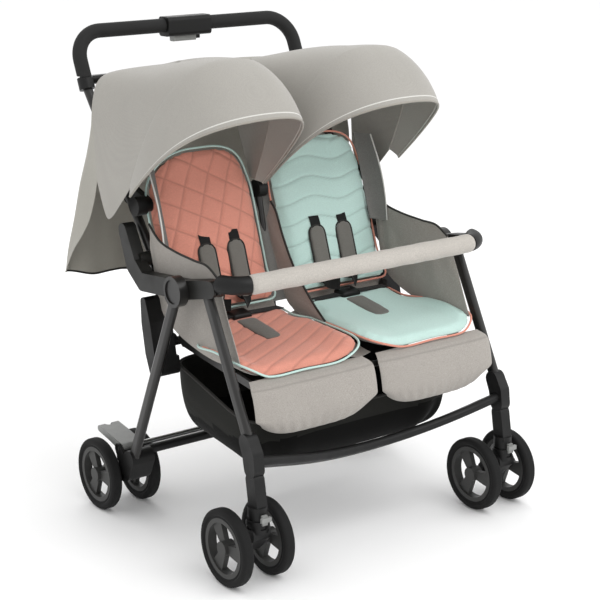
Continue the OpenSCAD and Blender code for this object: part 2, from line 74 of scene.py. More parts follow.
BIGHT = (62.0, 436.0)  # (y, z) of the corner between the seats and the backs
SEAT_TILT = math.radians(6.8)
BACK_LEAN = math.radians(18.0)
CANOPY_MIDDLE = 175.0  # from the middle of the stroller to the middle of a canopy
HARNESS_MIDDLE = 142.0  # from the middle of the stroller to the middle of a harness
WEBBING_WIDTH = 25.0
THIN_CLOTH = 1.4
CANOPY_CLOTH = 1.6

Point = tuple[float, float, float]
Flat = tuple[float, float]
Socket = bpy.types.NodeSocket


def at(x: float, y: float, z: float) -> Vector:
    """A point in metres in the row frame, from millimetres about the wheelbase middle."""
    return Vector((x * MM, (y - CENTRE_Y) * MM, z * MM))


def linear(colour: Sequence[float]) -> tuple[float, float, float, float]:
    """Shader colour of a display colour given as 0 to 255."""
    parts = [c / 255 for c in colour]
    parts = [c / 12.92 if c <= 0.04045 else ((c + 0.055) / 1.055) ** 2.4 for c in parts]
    return (parts[0], parts[1], parts[2], 1.0)


def smooth_step(value: float, low: float, high: float) -> float:
    """Rises smoothly from 0 at low to 1 at high."""
    t = min(max((value - low) / (high - low), 0.0), 1.0)
    return t * t * (3 - 2 * t)


def along(points: Sequence[Sequence[float]], share: float) -> tuple[float, ...]:
    """A point at a share of the way through evenly spaced points, on a smooth curve.

    Args:
        points: the curve's own points, two or more.
        share: from 0 at the first point to 1 at the last.

    Returns:
        The point, with as many numbers as each of points has.
    """
    reach = share * (len(points) - 1)
    i = min(int(reach), len(points) - 2)
    t = reach - i
    a, b, c, d = (points[min(max(i + k, 0), len(points) - 1)] for k in (-1, 0, 1, 2))
    return tuple(
        0.5 * (2 * q + (r - p) * t + (2 * p - 5 * q + 4 * r - s) * t * t + (3 * q - p - 3 * r + s) * t**3)
        for p, q, r, s in zip(a, b, c, d)
    )


# ---------- finishes ----------


class Weave(Enum):
    """How a cloth is woven."""

    PLAIN = "plain"
    MESH = "mesh"


class Nodes:
    """Builds one material's node tree."""

    def __init__(self, name: str, roughness: float, metallic: float = 0.0) -> None:
        """Starts a material with one Principled shader."""
        self.material = bpy.data.materials.new(name)
        self.material.use_nodes = True
        self.tree = self.material.node_tree
        self.shader = self.tree.nodes["Principled BSDF"]
        self.shader.inputs["Roughness"].default_value = roughness
        self.shader.inputs["Metallic"].default_value = metallic
        self.place = self.tree.nodes.new("ShaderNodeTexCoord").outputs["Object"]

    def link(self, source: Socket, target: Socket) -> None:
        """Joins an output to an input."""
        self.tree.links.new(source, target)

    def noise(self, scale: float, detail: float = 2.0, stretch: Point = (1, 1, 1)) -> Socket:
        """Output of a noise texture on Object coordinates."""
        turn = self.tree.nodes.new("ShaderNodeMapping")
        turn.inputs["Scale"].default_value = stretch
        self.link(self.place, turn.inputs["Vector"])
        node = self.tree.nodes.new("ShaderNodeTexNoise")
        node.inputs["Scale"].default_value = scale
        node.inputs["Detail"].default_value = detail
        self.link(turn.outputs["Vector"], node.inputs["Vector"])
        return node.outputs["Fac"]

    def thread(self, pitch: float, turn: Point) -> Socket:
        """Output of parallel threads a pitch apart in millimetres, across the turned X axis."""
        mapping = self.tree.nodes.new("ShaderNodeMapping")
        mapping.inputs["Rotation"].default_value = turn
        self.link(self.place, mapping.inputs["Vector"])
        wave = self.tree.nodes.new("ShaderNodeTexWave")
        wave.inputs["Scale"].default_value = 2 * math.pi / (20 * pitch * MM)
        wave.inputs["Distortion"].default_value = 0.6
        wave.inputs["Detail Scale"].default_value = 2.0
        self.link(mapping.outputs["Vector"], wave.inputs["Vector"])
        return wave.outputs["Fac"]

    def maths(self, kind: str, a: Socket | float, b: Socket | float) -> Socket:
        """Output of one operation, such as ADD, on two outputs or numbers."""
        node = self.tree.nodes.new("ShaderNodeMath")
        node.operation = kind
        for socket, value in zip(node.inputs, (a, b)):
            if isinstance(value, (int, float)):
                socket.default_value = value
            else:
                self.link(value, socket)
        return node.outputs[0]

    def spread(self, value: Socket, low: float, high: float) -> Socket:
        """Output that stretches the middle of a texture, 0.3 to 0.7, over low to high."""
        node = self.tree.nodes.new("ShaderNodeMapRange")
        for name, number in (("From Min", 0.3), ("From Max", 0.7), ("To Min", low), ("To Max", high)):
            node.inputs[name].default_value = number
        self.link(value, node.inputs["Value"])
        return node.outputs["Result"]

    def mix(self, share: Socket, a: Socket | tuple, b: Socket | tuple) -> Socket:
        """Colour output between a and b, each a colour or an output."""
        node = self.tree.nodes.new("ShaderNodeMix")
        node.data_type = "RGBA"
        self.link(share, node.inputs[0])
        # The node's sockets 6 and 7, and its output 2, are those of its colour form.
        for socket, value in ((node.inputs[6], a), (node.inputs[7], b)):
            if isinstance(value, tuple):
                socket.default_value = value
            else:
                self.link(value, socket)
        return node.outputs[2]

    def bump(self, height: Socket, strength: float, depth: float) -> None:
        """Gives the shader a bump of a depth in millimetres."""
        node = self.tree.nodes.new("ShaderNodeBump")
        node.inputs["Strength"].default_value = strength
        node.inputs["Distance"].default_value = depth * MM
        self.link(height, node.inputs["Height"])
        self.link(node.outputs["Normal"], self.shader.inputs["Normal"])

    def attribute(self, name: str) -> Socket:
        """Output of a piece's own attribute."""
        node = self.tree.nodes.new("ShaderNodeAttribute")
        node.attribute_name = name
        return node.outputs["Fac"]


class Finish:
    """A look whose material is made once, at its first use."""

    name: str
    colour: Point

    def material(self) -> bpy.types.Material:
        """The finish's material."""
        return bpy.data.materials.get(self.name) or self.make()

    def shade(self, share: float) -> tuple[float, float, float, float]:
        """Shader colour of the finish's display colour times a share."""
        return linear([c * share for c in self.colour])

    def make(self) -> bpy.types.Material:
        """Makes the material."""
        raise NotImplementedError


@dataclass(frozen=True)
class Cloth(Finish):
    """Woven cloth with a melange and soft wear, and a darker shade along its stitches where it is sewn."""

    name: str
    colour: Point
    pitch: float = 1.1
    melange: float = 0.10
    sheen: float = 0.25
    roughness: float = 0.88
    depth: float = 0.22
    weave: Weave = Weave.PLAIN
    stitched: bool = False

    def make(self) -> bpy.types.Material:
        """Makes the cloth's material."""
        n = Nodes(self.name, self.roughness)
        n.shader.inputs["Sheen Weight"].default_value = self.sheen
        n.shader.inputs["Sheen Roughness"].default_value = 0.4
        n.shader.inputs["Specular IOR Level"].default_value = 0.2
        warp = n.thread(self.pitch, (0, 0, 0))
        weft = n.thread(self.pitch, (0, math.radians(90), math.radians(45)))
        weave = n.maths("MULTIPLY", warp, weft) if self.weave is Weave.MESH else n.maths("ADD", warp, weft)
        fine = n.noise(800, 3)
        blotch = n.noise(9, 3)
        ground = n.mix(n.spread(fine, 0, 1), self.shade(1 - self.melange), self.shade(1 + self.melange))
        ground = n.mix(n.spread(blotch, 0, 0.35), ground, self.shade(0.94))
        gap = 0.42 if self.weave is Weave.MESH else 0.07
        share = n.maths("MULTIPLY", n.maths("SUBTRACT", 1.0, n.maths("MULTIPLY", weave, 0.5)), gap)
        ground = n.mix(share, ground, self.shade(0.45))
        if self.stitched:
            ground = n.mix(n.attribute("stitch"), ground, self.shade(0.80))
        n.link(ground, n.shader.inputs["Base Color"])
        height = n.maths("ADD", n.maths("MULTIPLY", weave, 0.5), n.maths("MULTIPLY", fine, 0.6))
        n.bump(height, 0.55, self.depth)
        return n.material


@dataclass(frozen=True)
class Plastic(Finish):
    """Moulded plastic with a fine etched grain and handling marks."""

    name: str
    colour: Point
    roughness: float = 0.48
    grain: float = 0.10

    def make(self) -> bpy.types.Material:
        """Makes the plastic's material."""
        n = Nodes(self.name, self.roughness)
        n.shader.inputs["Specular IOR Level"].default_value = 0.3
        etched, marks = n.noise(1400, 2), n.noise(26, 5)
        ground = n.mix(n.spread(marks, 0, 1), self.shade(0.92), self.shade(1.07))
        n.link(ground, n.shader.inputs["Base Color"])
        n.link(n.spread(marks, self.roughness - 0.07, self.roughness + 0.09), n.shader.inputs["Roughness"])
        n.bump(etched, 0.4, self.grain)
        return n.material


@dataclass(frozen=True)
class Paint(Finish):
    """Powder-coated tube with an orange-peel surface and fine flakes."""

    name: str
    colour: Point
    roughness: float = 0.34

    def make(self) -> bpy.types.Material:
        """Makes the paint's material."""
        n = Nodes(self.name, self.roughness, 0.35)
        n.shader.inputs["Coat Weight"].default_value = 0.25
        n.shader.inputs["Coat Roughness"].default_value = 0.25
        flake, rub = n.noise(2600, 1), n.noise(14, 4)
        ground = n.mix(n.spread(flake, 0, 1), self.shade(0.85), self.shade(1.2))
        n.link(ground, n.shader.inputs["Base Color"])
        n.link(n.spread(rub, self.roughness - 0.05, self.roughness + 0.12), n.shader.inputs["Roughness"])
        n.bump(n.noise(420, 2), 0.3, 0.06)
        return n.material


@dataclass(frozen=True)
class Rubber(Finish):
    """Tyre or foam: a dull pored surface with dusty patches."""

    name: str
    colour: Point
    pore: float = 500.0
    depth: float = 0.2
    dust: float = 0.2

    def make(self) -> bpy.types.Material:
        """Makes the rubber's material."""
        n = Nodes(self.name, 0.82)
        n.shader.inputs["Specular IOR Level"].default_value = 0.3
        pores, dust = n.noise(self.pore, 4), n.noise(18, 5)
        ground = n.mix(n.spread(dust, 0, self.dust), self.shade(1), self.shade(1.7))
        n.link(ground, n.shader.inputs["Base Color"])
        n.bump(pores, 0.6, self.depth)
        return n.material


@dataclass(frozen=True)
class Steel(Finish):
    """Bright turned steel with fine lines."""

    name: str

    def make(self) -> bpy.types.Material:
        """Makes the steel's material."""
        n = Nodes(self.name, 0.3, 1.0)
        lines = n.noise(90, 2, (30, 1, 1))
        ground = n.mix(n.spread(lines, 0, 1), linear((150, 151, 152)), linear((190, 190, 188)))
        n.link(ground, n.shader.inputs["Base Color"])
        n.bump(lines, 0.2, 0.03)
        return n.material


CANOPY = Cloth("canopy_cloth", (164, 161, 155), 1.0, 0.05)
CANOPY_SHADE = Cloth("canopy_side_cloth", (158, 154, 146), 1.0, 0.05)
LINING = Cloth("canopy_lining", (70, 64, 57), 0.9, 0.06, sheen=0.1)
DRAPE = Cloth("drape_cloth", (158, 155, 146), 1.0, 0.05)
GREY = Cloth("seat_grey_cloth", (160, 155, 149), 1.3, 0.12, stitched=True)
# A darker copy of the seat grey: painted shade for the shaded strips beside and between the backrests.
SHADED_GREY = Cloth("painted_shade_grey_cloth", (118, 117, 114), 1.3, 0.12)
COVER = Cloth("bumper_cloth", (182, 177, 170), 1.3, 0.10, stitched=True)
CORAL = Cloth("coral_cloth", (218, 148, 130), 1.3, 0.07, sheen=0.35, stitched=True)
MINT = Cloth("mint_cloth", (196, 224, 217), 1.3, 0.05, sheen=0.35, stitched=True)
PIPING = Cloth("piping_cloth", (214, 213, 208), 0.8, 0.04)
BINDING = Cloth("dark_binding", (52, 51, 49), 0.8, 0.08, sheen=0.1)
WEBBING = Cloth("black_webbing", (30, 30, 30), 1.6, 0.12, sheen=0.1, depth=0.4)
PAD_GREY = Cloth("strap_pad_cloth", (112, 110, 105), 1.2, 0.08, stitched=True)
BASKET = Cloth("basket_cloth", (7, 7, 6), 1.4, 0.12, sheen=0.03)
NETTING = Cloth("basket_netting", (40, 40, 37), 3.4, 0.08, sheen=0.05, depth=0.7, weave=Weave.MESH)
BLACK = Plastic("black_plastic_moulding", (14, 14, 14))
CHARCOAL = Plastic("armrest_moulding", (24, 24, 22), 0.42)
MID_GREY = Plastic("grey_plastic_moulding", (138, 139, 137), 0.45)
RIM = Plastic("rim_moulding", (58, 58, 57), 0.5)
LEG = Paint("leg_paint", (30, 29, 28))
TYRE = Rubber("tyre_rubber", (17, 17, 17))
FOAM = Rubber("grip_foam", (34, 34, 34), 900, 0.5, 0.08)
BRIGHT = Steel("pin_steel")

CAD_FINISHES: dict[Finish, tuple[str, ...]] = {
    LEG: ("rear_legs", "front_legs", "push_tube", "seat_frame", "centre_post"),
    BLACK: ("rear_axle_beam", "caster_sockets", "caster_left", "caster_right", "footrest", "handle_brace",
            "lock_housings", "canopy_mounts", "trigger_housing", "bumper_bar", "fold_button"),
    CHARCOAL: ("armrests",),
    MID_GREY: ("brake_pedal", "fold_trigger", "swivel_lock_left", "swivel_lock_right"),
    BRIGHT: ("rear_axles", "frame_pins", "brake_rod"),
    FOAM: ("handle_grip",),
}


def dress_frame(frame: dict) -> None:
    """Gives every CAD node its finish.
    """
    chosen = {node: finish for finish, nodes in CAD_FINISHES.items() for node in nodes}
    for name, node in frame["nodes"].items():
        wheel = TYRE if name.startswith("tyre") else RIM if name.startswith("rim") else GREY
        finish = chosen.get(name, wheel)
        node.data.materials.clear()
        node.data.materials.append(finish.material())
    LOG.info("dressed %d frame nodes", len(frame["nodes"]))


# ---------- modelling ----------


def clear_selection() -> None:
    """Leaves nothing selected and no object in edit mode."""
    if bpy.context.object and bpy.context.object.mode != "OBJECT":
        bpy.ops.object.mode_set(mode="OBJECT")
    bpy.ops.object.select_all(action="DESELECT")


def select_only(piece: bpy.types.Object) -> None:
    """Selects one object and makes it active."""
    clear_selection()
    piece.select_set(True)
    bpy.context.view_layer.objects.active = piece


def apply_modifier(piece: bpy.types.Object, kind: str, **values) -> None:
    """Adds a modifier with these values and applies it."""
    select_only(piece)
    modifier = piece.modifiers.new(kind.lower(), kind)
    for name, value in values.items():
        setattr(modifier, name, value)
    bpy.ops.object.modifier_apply(modifier=modifier.name)


def face_outward(piece: bpy.types.Object) -> None:
    """Turns a closed form's faces to point out of it."""
    select_only(piece)
    bpy.ops.object.mode_set(mode="EDIT")
    bpy.ops.mesh.select_all(action="SELECT")
    bpy.ops.mesh.normals_make_consistent(inside=False)
    bpy.ops.object.mode_set(mode="OBJECT")


def finish_piece(piece: bpy.types.Object, finishes: Iterable[Finish],
                 angle: float = 50.0) -> bpy.types.Object:
    """Shades a piece smooth and gives it its finishes, in slot order."""
    select_only(piece)
    bpy.ops.object.shade_smooth_by_angle(angle=math.radians(angle))
    for finish in finishes:
        piece.data.materials.append(finish.material())
    return piece


def cloth_grid(name: str, across: int, down: int, shape: Callable[[float, float], Point],
               finishes: Sequence[Finish], thickness: float, offset: float = -1.0) -> bpy.types.Object:
    """A sheet of cloth from a grid whose points follow a shape.

    Args:
        name: the piece's name.
        across: divisions along the first direction.
        down: divisions along the second.
        shape: place in millimetres for shares (u, v) from 0 to 1.
        finishes: the outer finish, then the inner one.
        thickness: the cloth's thickness in millimetres.
        offset: side that the thickness goes to, as in Solidify.

    Returns:
        The sheet, with its place in its mesh.
    """
    clear_selection()
    bpy.ops.mesh.primitive_grid_add(x_subdivisions=across, y_subdivisions=down, size=1)
    piece = bpy.context.object
    piece.name = name
    for vertex in piece.data.vertices:
        vertex.co = at(*shape(vertex.co.x + 0.5, vertex.co.y + 0.5))
    apply_modifier(piece, "SOLIDIFY", thickness=thickness * MM, offset=offset,
                   material_offset=len(finishes) - 1, material_offset_rim=0)
    return finish_piece(piece, finishes)


def tube(name: str, points: Sequence[Point], radius: float, finish: Finish,
         closed: bool = False) -> bpy.types.Object:
    """A round cord, such as a piping, along points in millimetres."""
    clear_selection()
    bpy.ops.curve.primitive_bezier_curve_add()
    piece = bpy.context.object
    piece.name = name
    curve = piece.data
    curve.splines.clear()
    curve.dimensions = "3D"
    spline = curve.splines.new("POLY")
    spline.points.add(len(points) - 1)
    for target, point in zip(spline.points, points):
        target.co = (*at(*point), 1)
    spline.use_cyclic_u = closed
    curve.bevel_depth = radius * MM
    curve.bevel_resolution = 2
    curve.use_fill_caps = not closed
    bpy.ops.object.convert(target="MESH")
    return finish_piece(bpy.context.object, [finish], 80)


def strap(name: str, points: Sequence[Point], normal: Point) -> bpy.types.Object:
    """Flat black webbing along points in millimetres, its face towards normal."""
    centre = [Vector(p) for p in points]

    def shape(u: float, v: float) -> Point:
        """Place on the webbing: u across it and v along it."""
        middle = Vector(along(centre, v))
        ahead = Vector(along(centre, min(v + 0.02, 1))) - Vector(along(centre, max(v - 0.02, 0)))
        side = ahead.cross(Vector(normal)).normalized()
        place = middle + side * (u - 0.5) * WEBBING_WIDTH
        return (place.x, place.y, place.z)

    return cloth_grid(name, 6, 8 * (len(points) - 1), shape, [WEBBING], 1.6, 0)


def rounded_outline(corners: Sequence[Point], count: int) -> list[Flat]:
    """Evenly spaced points round a polygon with a radius at each corner.

    Args:
        corners: (a, b, radius) of each corner, in order.
        count: how many points.

    Returns:
        The points, in the same order.
    """
    fine: list[Vector] = []
    for i, (a, b, radius) in enumerate(corners):
        here = Vector((a, b))
        before = (Vector(corners[i - 1][:2]) - here).normalized()
        after = (Vector(corners[(i + 1) % len(corners)][:2]) - here).normalized()
        half = before.angle(after) / 2
        cut = radius / math.tan(half)
        start, end = here + before * cut, here + after * cut
        for k in range(13):
            t = k / 12
            fine.append(start * (1 - t) ** 2 + here * 2 * t * (1 - t) * 0.93 + end * t * t
                        + (start + end) * t * (1 - t) * 0.07)
    lengths = [0.0]
    for i in range(len(fine)):
        lengths.append(lengths[-1] + (fine[(i + 1) % len(fine)] - fine[i]).length)
    out: list[Flat] = []
    j = 0
    for k in range(count):
        want = lengths[-1] * k / count
        while lengths[j + 1] < want:
            j += 1
        t = (want - lengths[j]) / max(lengths[j + 1] - lengths[j], 1e-9)
        point = fine[j].lerp(fine[(j + 1) % len(fine)], t)
        out.append((point.x, point.y))
    return out


@dataclass(frozen=True)
class Plane:
    """A seat's or a back's own axes: across, along and out of its face."""

    origin: Flat
    along_yz: Flat
    out_yz: Flat

    def point(self, a: float, b: float, h: float) -> Point:
        """Place of a across, b along and h out, all in millimetres."""
        return (a, self.origin[0] + b * self.along_yz[0] + h * self.out_yz[0],
                self.origin[1] + b * self.along_yz[1] + h * self.out_yz[1])


SEAT = Plane(BIGHT, (math.cos(SEAT_TILT), math.sin(SEAT_TILT)), (-math.sin(SEAT_TILT), math.cos(SEAT_TILT)))
BACK = Plane(BIGHT, (math.sin(BACK_LEAN), math.cos(BACK_LEAN)), (-math.cos(BACK_LEAN), math.sin(BACK_LEAN)))


@dataclass(frozen=True)
class Pad:
    """A padded form over a rounded outline, puffed as cloth, then sewn and bent to its place."""

    name: str
    corners: tuple[Point, ...]
    low: float
    high: float
    puff: float = 5.0
    voxel: float = 5.0

    def build(self) -> bpy.types.Object:
        """The puffed form, lying flat in its own axes, in metres."""
        outline = rounded_outline(self.corners, 120)
        middle = Vector((sum(p[0] for p in outline), sum(p[1] for p in outline))) / len(outline)
        rings = (1.0, 0.985, 0.96, 0.92, 0.85, 0.7, 0.5, 0.25)
        centre_h, half = (self.low + self.high) / 2, (self.high - self.low) / 2
        points: list[Point] = []
        faces: list[tuple[int, ...]] = []
        count = len(outline)
        for sign in (1, -1):
            for ring in rings:
                h = centre_h + sign * half * (0.16 + 0.84 * math.sqrt(max(0.0, 1 - ring**10)))
                points += [((middle.x + (a - middle.x) * ring) * MM, (middle.y + (b - middle.y) * ring) * MM,
                            h * MM) for a, b in outline]
            points.append((middle.x * MM, middle.y * MM, (centre_h + sign * half) * MM))
        block = count * len(rings) + 1
        for side, flip in ((0, False), (block, True)):
            for r in range(len(rings) - 1):
                for i in range(count):
                    j = (i + 1) % count
                    quad = (side + r * count + i, side + r * count + j, side + (r + 1) * count + j,
                            side + (r + 1) * count + i)
                    faces.append(quad[::-1] if flip else quad)
            last = side + (len(rings) - 1) * count
            for i in range(count):
                tri = (last + i, last + (i + 1) % count, side + block - 1)
                faces.append(tri[::-1] if flip else tri)
        faces += [(i, block + i, block + (i + 1) % count, (i + 1) % count) for i in range(count)]
        mesh = bpy.data.meshes.new(self.name)
        mesh.from_pydata(points, [], faces)
        piece = bpy.data.objects.new(self.name, mesh)
        bpy.context.scene.collection.objects.link(piece)
        face_outward(piece)
        apply_modifier(piece, "REMESH", mode="VOXEL", voxel_size=self.voxel * MM, adaptivity=0.0)
        apply_modifier(piece, "SMOOTH", factor=0.5, iterations=4)
        if self.puff:
            inflate(piece, self.puff)
        apply_modifier(piece, "SUBSURF", levels=1, render_levels=1)
        return piece


def inflate(piece: bpy.types.Object, cap: float) -> None:
    """Blows a closed form up as cloth, with no point moved further than cap, in millimetres."""
    before = [v.co.copy() for v in piece.data.vertices]
    select_only(piece)
    modifier = piece.modifiers.new("cloth", "CLOTH")
    modifier.settings.quality = 4
    modifier.settings.use_pressure = True
    modifier.settings.uniform_pressure_force = 4
    modifier.settings.tension_stiffness = 20
    modifier.settings.effector_weights.gravity = 0
    modifier.point_cache.frame_start, modifier.point_cache.frame_end = 1, 20
    for step in range(1, 21):
        bpy.context.scene.frame_set(step)
    bpy.ops.object.modifier_apply(modifier=modifier.name)
    bpy.context.scene.frame_set(1)
    for vertex, rest in zip(piece.data.vertices, before):
        move = vertex.co - rest
        if move.length > cap * MM:
            vertex.co = rest + move.normalized() * cap * MM


Seam = Callable[[float, float], float]
Bend = Callable[[float, float, float], Point]


def sew(piece: bpy.types.Object, seam: Seam, depth: float, width: float, face: float) -> None:
    """Sinks a padded form's face along its seams and marks the stitches.

    Args:
        piece: the form in its own axes, in metres.
        seam: distance in millimetres from (a, b) to the nearest sewn line.
        depth: how deep the line sinks, in millimetres.
        width: how wide the channel is, in millimetres.
        face: the height above which the face lies, in millimetres.
    """
    marks = piece.data.attributes.new("stitch", "FLOAT", "POINT")
    values = [0.0] * len(piece.data.vertices)
    for i, vertex in enumerate(piece.data.vertices):
        if vertex.co.z < face * MM:
            continue
        gap = seam(vertex.co.x / MM, vertex.co.y / MM)
        values[i] = 0.75 * math.exp(-((gap / 1.6) ** 2))
        vertex.co.z -= depth * MM * math.exp(-((gap / width) ** 2))
    marks.data.foreach_set("value", values)


def settle(piece: bpy.types.Object, plane: Plane, side: int, bend: Bend | None = None) -> None:
    """Moves a form from its own axes to the row frame.

    Args:
        piece: the form in its own axes, in metres.
        plane: the axes of the seat or back.
        side: 1 for the right seat and -1 for the left.
        bend: change to (a, b, h) in millimetres first, or None.
    """
    for vertex in piece.data.vertices:
        a, b, h = (c / MM for c in vertex.co)
        if bend:
            a, b, h = bend(a, b, h)
        vertex.co = at(*plane.point(a * side, b, h))
    if side < 0:
        piece.data.flip_normals()


def side_name(side: int) -> str:
    """The word for a side."""
    return "right" if side > 0 else "left"


# ---------- canopies ----------


class Bow(NamedTuple):
    """A canopy's bow.

    Attributes:
        centre: middle of the bow across.
        half: half its width.
        reach: its height from the hub.
        power: how square its shoulders are, from 2 for an ellipse.
        angle: its angle in degrees from level to the rear.
        droop: degrees less at its feet.
    """

    centre: float
    half: float
    reach: float
    power: float
    angle: float
    droop: float = 0.0


@lru_cache(maxsize=None)
def bow_line(bow: Bow) -> list[Point]:
    """61 evenly spaced points (x, y, z) of a bow, from its outer foot over the top to its inner foot."""
    centre, half, reach, power, angle, droop = bow
    fine: list[tuple[float, float]] = []
    for k in range(401):
        turn = math.pi * k / 400
        c, s = math.cos(turn), math.sin(turn)
        fine.append((math.copysign(abs(c) ** (2 / power), c) * half + centre, abs(s) ** (2 / power) * reach))
    lengths = [0.0]
    for p, q in zip(fine, fine[1:]):
        lengths.append(lengths[-1] + math.dist(p, q))
    out: list[Point] = []
    j = 0
    for k in range(61):
        want = lengths[-1] * k / 60
        while j < 399 and lengths[j + 1] < want:
            j += 1
        t = (want - lengths[j]) / max(lengths[j + 1] - lengths[j], 1e-9)
        x = fine[j][0] + (fine[j + 1][0] - fine[j][0]) * t
        r = fine[j][1] + (fine[j + 1][1] - fine[j][1]) * t
        edge = abs((x - centre) / half) ** 3
        turn = math.radians(angle - droop * edge)
        out.append((x, HUB[0] + r * math.cos(turn), HUB[1] + r * math.sin(turn)))
    return out


@dataclass(frozen=True)
class Canopy:
    """One seat's canopy: a rear section on the fixed rear bow, and a visor in front of the middle bow."""

    side: int
    rear: Bow = Bow(174.5, 159.5, 286, 7.0, 66.2)
    middle: Bow = Bow(176, 157, 342, 2.7, 118)
    front: Bow = Bow(175, 172, 354, 2.5, 145.4, 4.5)
    outer_feet: tuple[Flat, ...] = ((258, 712), (228, 646), (205, 645), (160, 684), (122, 722))
    inner_foot: float = 24.0
    bulge: float = 18.0

    def foot(self, angle: float, u: float, outer: bool) -> Flat:
        """How far the foot of a bow at this angle lies from the hub, as (y, z)."""
        if outer and u <= 1:
            y, z = along(self.outer_feet, u)
            return (y - HUB[0], z - HUB[1])
        reach = 59.0 if outer else self.inner_foot
        return (reach * math.cos(math.radians(angle)), reach * math.sin(math.radians(angle)))

    def with_feet(self, point: Point, angle: float, u: float, reach: float) -> Point:
        """A bow's point with its foot moved out from the hub."""
        x, y, z = point
        rise = math.hypot(y - HUB[0], z - HUB[1]) / reach
        fade = max(0.0, 1 - rise)
        dy, dz = self.foot(angle, u, x > CANOPY_MIDDLE)
        return (x, y + dy * fade, z + dz * fade)

    def rear_point(self, u: float, v: float) -> Point:
        """Place on the rear section: u from the rear bow to the middle one, v from outer foot to inner."""
        a, b = along(bow_line(self.rear), v), along(bow_line(self.middle), v)
        x, y, z = (p + (q - p) * u for p, q in zip(a, b))
        angle = self.rear.angle + (self.middle.angle - self.rear.angle) * u
        reach = self.rear.reach + (self.middle.reach - self.rear.reach) * u
        x, y, z = self.with_feet((x, y, z), angle, u, reach)
        lift = 6 * math.sin(math.pi * u) * math.sin(math.pi * v) + self.wrinkle(u, v)
        return (x, y + lift * math.cos(math.radians(angle)), z + lift * math.sin(math.radians(angle)))

    def visor_point(self, u: float, v: float) -> Point:
        """Place on the visor: u from the middle bow to the front edge, v from outer foot to inner."""
        a, b = along(bow_line(self.middle), v), along(bow_line(self.front), v)
        x, y, z = (p + (q - p) * u for p, q in zip(a, b))
        angle = self.middle.angle + (self.front.angle - self.middle.angle) * u
        x, y, z = self.with_feet((x, y, z), angle, 2.0, 350)
        if u == 0:
            x, y, z = self.rear_point(1.0, v)
        lift = (self.bulge * 4 * u * (1 - u) * 0.9 + 0.4 * self.wrinkle(u, v)) * math.sin(math.pi * v) ** 0.6
        return (x, y + lift * math.cos(math.radians(angle)), z + lift * math.sin(math.radians(angle)))

    @staticmethod
    def wrinkle(u: float, v: float) -> float:
        """Soft folds of the cloth in millimetres, none at the bows."""
        edge = math.sin(math.pi * u)
        side_folds = 2.0 * math.exp(-(((v - 0.12) / 0.12) ** 2)) * math.sin(9 * u + 14 * v)
        top_folds = 0.7 * math.sin(7.3 * v * math.pi + 2.1 * u)
        return edge * (side_folds + top_folds + 0.5 * math.sin(17 * v - 5 * u))

    def mirror(self, shape: Callable[[float, float], Point]) -> Callable[[float, float], Point]:
        """The shape on this canopy's side."""
        table: dict[Flat, Point] = {}

        def placed(u: float, v: float) -> Point:
            """The shape's point, worked out once."""
            key = (round(u, 5), round(v, 5))
            if key not in table:
                x, y, z = shape(u, v if self.side > 0 else 1 - v)
                table[key] = (x * self.side, y, z)
            return table[key]

        return placed

    def build(self) -> None:
        """Makes the cloth, its seams and its piping, and joins them to the bows."""
        word = side_name(self.side)
        rear_shape, visor_shape = self.mirror(self.rear_point), self.mirror(self.visor_point)
        rear = cloth_grid(f"canopy_cloth_{word}", 36, 84, rear_shape, [CANOPY, LINING], CANOPY_CLOTH)
        visor = cloth_grid(f"visor_cloth_{word}", 22, 84, visor_shape, [CANOPY, LINING], CANOPY_CLOTH)
        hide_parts(f"canopy_{word}")
        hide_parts(f"visor_{word}")
        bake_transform(rear)
        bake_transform(visor)
        edge = [visor_shape(1.0, k / 90) for k in range(91)]
        line = [visor_shape(0.935, k / 90) for k in range(91)]
        middle = [rear_shape(0.985, 0.02 + 0.96 * k / 90) for k in range(91)]
        for name, points, radius, finish, bodies in (
            ("visor_edge", edge, 2.4, CANOPY_SHADE, f"visor_{word}"),
            ("visor_piping", self.proud(line, 0.6), 1.7, PIPING, f"visor_{word}"),
            ("bow_seam", self.proud(middle, 0.0), 1.3, CANOPY_SHADE, f"canopy_{word}"),
        ):
            cord = tube(f"{name}_{word}", points, radius, finish)
            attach(cord, bodies)
        LOG.info("canopy %s", word)

    @staticmethod
    def proud(points: Sequence[Point], by: float) -> list[Point]:
        """The points moved away from the hub by a few millimetres."""
        out = []
        for x, y, z in points:
            away = Vector((0, y - HUB[0], z - HUB[1])).normalized() * by
            out.append((x, y + away.y, z + away.z))
        return out


# ---------- seats ----------


def diagonal_seam(a: float, b: float) -> float:
    """Distance to the nearest of the parallel slanting seams, in millimetres."""
    across = a * math.cos(math.radians(62)) + b * math.sin(math.radians(62))
    return abs((across + 1000) % 34 - 17)


def diamond_seam(a: float, b: float) -> float:
    """Distance to the nearest of two crossing families of seams, in millimetres."""
    gaps = []
    for turn in (24, 118):
        across = a * math.cos(math.radians(turn)) + b * math.sin(math.radians(turn))
        gaps.append(abs((across + 1000) % 47 - 23.5))
    return min(gaps)


def wavy_seam(a: float, b: float) -> float:
    """Distance to the nearest of the level wavy seams, in millimetres."""
    return abs((b + 7 * math.sin(a / 24) + 1000) % 44 - 22)


